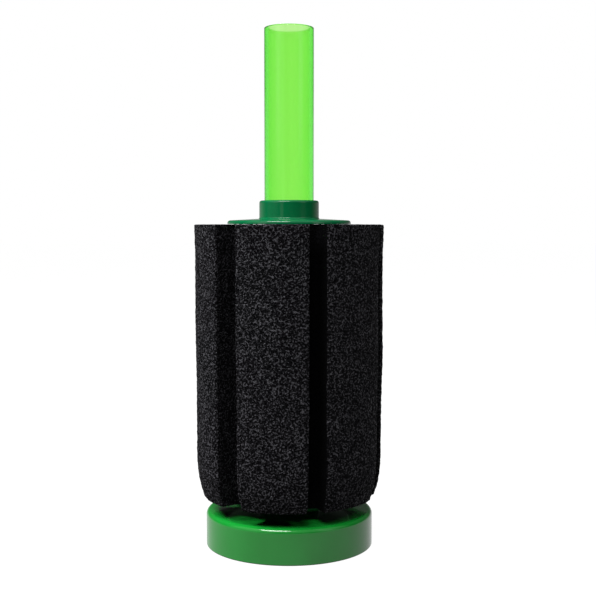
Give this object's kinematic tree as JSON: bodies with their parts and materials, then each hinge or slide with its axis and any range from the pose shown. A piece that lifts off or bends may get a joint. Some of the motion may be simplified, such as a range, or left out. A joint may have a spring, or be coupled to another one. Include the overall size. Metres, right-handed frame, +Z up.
{
  "type": "air-driven sponge filter",
  "caption": "Aquarium sponge filter: clear lime lift tube and green caps on a slotted core, fluted black foam sleeve, weighted round green base.",
  "frame": {"origin": "centre of the base's underside, on the common axis of all pieces", "axes": "+Z up along the lift tube; -Y towards the foam sleeve's front lobe, the side of the picture; +X to the right of that view"},
  "size_m": [0.0978, 0.0978, 0.267],
  "materials": {
    "base_shell": "glossy green, injection moulded",
    "base_plate": "satin green",
    "ballast_ring": "rough cast",
    "cap": "glossy dark green, injection moulded",
    "core": "satin green",
    "nipple": "lime, moulded",
    "sponge": "black open-cell foam, about 20 pores per inch",
    "lift_tube": "clear tinted lime, extruded"
  },
  "bodies": {
    "base": {"base_shell": "base_shell", "base_plate": "base_plate", "ballast_ring": "ballast_ring"},
    "lower_cap": {"bottom_cap": "cap", "diffuser_disc": "core", "air_nipple": "nipple"},
    "core": {"strainer_tube": "core"},
    "sleeve": {"sponge": "sponge"},
    "upper_cap": {"top_cap": "cap"},
    "tube": {"lift_tube": "lift_tube"}
  },
  "joints": [
    {"name": "filter_off_base", "type": "slide", "parent": "base", "child": "lower_cap", "axis": [0, 0, 1], "range_m": [0, 0.03]},
    {"name": "core_turn", "type": "hinge", "parent": "lower_cap", "child": "core", "pos_m": [0, 0, 0.0256], "axis": [0, 0, 1], "continuous": true},
    {"name": "sleeve_off_core", "type": "slide", "parent": "core", "child": "sleeve", "axis": [0, 0, 1], "range_m": [0, 0.15]},
    {"name": "upper_cap_off", "type": "slide", "parent": "sleeve", "child": "upper_cap", "axis": [0, 0, 1], "range_m": [0, 0.03]},
    {"name": "lift_tube_slide", "type": "slide", "parent": "upper_cap", "child": "tube", "axis": [0, 0, 1], "range_m": [0, 0.03]}
  ]
}
